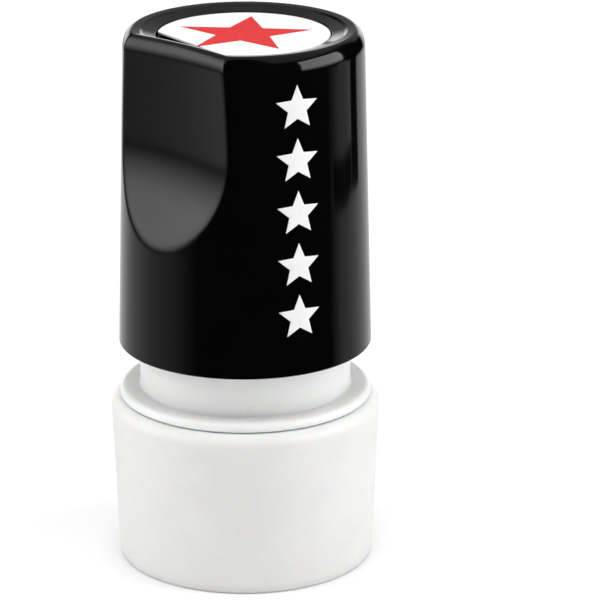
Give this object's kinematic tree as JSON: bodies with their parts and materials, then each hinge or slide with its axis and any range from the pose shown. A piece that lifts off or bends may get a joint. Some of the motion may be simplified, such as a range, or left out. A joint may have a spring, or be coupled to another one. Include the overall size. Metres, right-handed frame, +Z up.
{
  "type": "rubber stamp",
  "caption": "Pre-inked round message stamp: handle with a thumb scoop slides on a sprung neck above the die, and the whole stamp stands in a push-on dust cap.",
  "frame": {"origin": "centre of the dust cap's underside, where the capped stamp stands on the table", "axes": "+Z up along the stamp's axis towards the handle's top; the thumb scoop in the handle faces -Y; +X completes the right-handed frame"},
  "size_m": [0.028, 0.028, 0.0558],
  "materials": {
    "handle_plastic": "moulded black plastic, high gloss",
    "label_laminate": "white printed label under a satin laminate, red star",
    "housing_plastic": "moulded white plastic, semi-gloss",
    "cap_plastic": "moulded white plastic, slightly translucent, satin",
    "mechanism_plastic": "natural white moulded plastic, matt",
    "spring_steel": "bright drawn spring wire",
    "plug_rubber": "soft black rubber",
    "pad_felt": "wool felt soaked in red ink",
    "die_foam": "microporous foam, stained with red ink"
  },
  "bodies": {
    "cap": {"dust_cap": "cap_plastic"},
    "housing": {"housing": "housing_plastic", "return_spring": "spring_steel"},
    "plunger": {"plunger": "mechanism_plastic", "die": "die_foam", "die_retainer": "mechanism_plastic", "ink_pad": "pad_felt", "spring_collar": "mechanism_plastic"},
    "plug": {"filler_plug": "plug_rubber"},
    "handle": {"handle": "handle_plastic", "index_label": "label_laminate"}
  },
  "joints": [
    {"name": "housing_lift", "type": "slide", "parent": "cap", "child": "housing", "axis": [0, 0, 1], "range_m": [0, 0.018]},
    {"name": "handle_press", "type": "slide", "parent": "housing", "child": "plunger", "axis": [0, 0, -1], "range_m": [0, 0.0045], "stiffness_N_per_m": 1200, "springref_m": -0.0033, "deforming": ["return_spring"]},
    {"name": "plug_pull", "type": "slide", "parent": "plunger", "child": "plug", "axis": [0, 0, 1], "range_m": [0, 0.0055]},
    {"name": "handle_pull", "type": "slide", "parent": "plunger", "child": "handle", "axis": [0, 0, 1], "range_m": [0, 0.024]}
  ]
}
